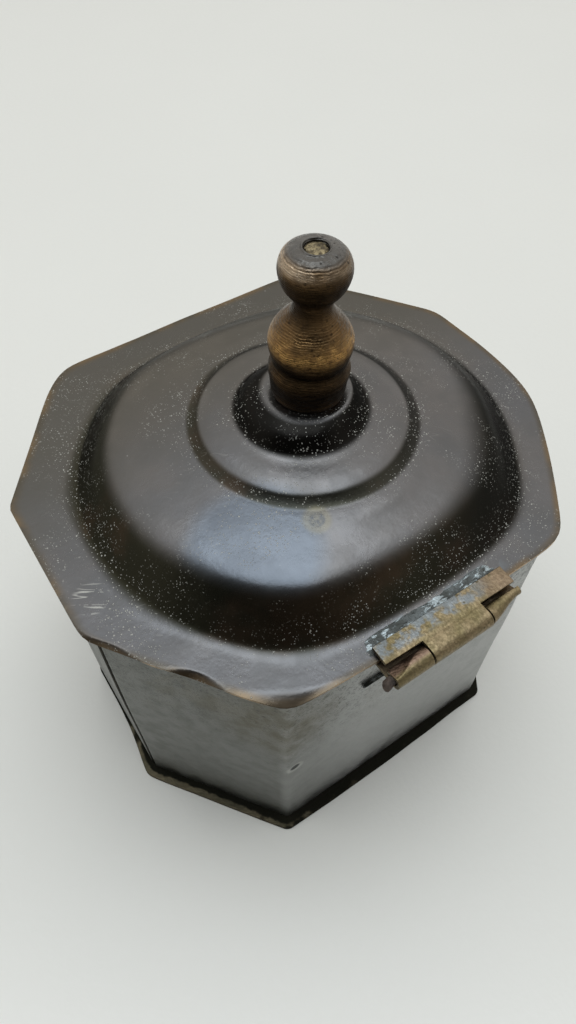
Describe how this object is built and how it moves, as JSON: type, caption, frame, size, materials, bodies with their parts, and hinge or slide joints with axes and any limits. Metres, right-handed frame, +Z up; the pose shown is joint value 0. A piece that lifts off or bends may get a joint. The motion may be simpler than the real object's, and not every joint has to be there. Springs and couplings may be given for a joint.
{
  "type": "tea caddy",
  "caption": "Octagonal sheet-metal tea caddy with a domed hinged lid, a turned baluster finial and a projecting base plate.",
  "frame": {"origin": "centre of the base plate's underside", "axes": "+Z up; X along the long sides and the hinge axis; +Y towards the hinge"},
  "size_m": [0.124, 0.1176, 0.1452],
  "materials": {
    "patinated_brass": "dark brown-black patina, satin",
    "dull_wall_brass": "dull grey, mottled, satin",
    "plate_brass": "dull brown-grey with a worn edge",
    "hinge_brass": "pale tarnished brass",
    "finial_brass": "turned, dark golden brown, satin",
    "solder": "dull blue-grey soft solder",
    "rusted_iron": "rusted wire"
  },
  "bodies": {
    "caddy_body": {"base_plate": "plate_brass", "body_wall": "dull_wall_brass", "base_solder": "solder", "wall_seam_solder": "solder", "body_hinge_leaf": "hinge_brass", "body_leaf_solder": "solder", "hinge_pin": "rusted_iron"},
    "lid": {"lid_shell": "patinated_brass", "lid_hinge_leaf": "hinge_brass", "lid_leaf_solder": "solder", "finial": "finial_brass", "finial_stud": "hinge_brass", "finial_washer": "hinge_brass"}
  },
  "joints": [
    {"name": "lid_hinge", "type": "hinge", "parent": "caddy_body", "child": "lid", "pos_m": [0, 0.0604, 0.0882], "axis": [-1, 0, 0], "range_deg": [0, 225]}
  ]
}
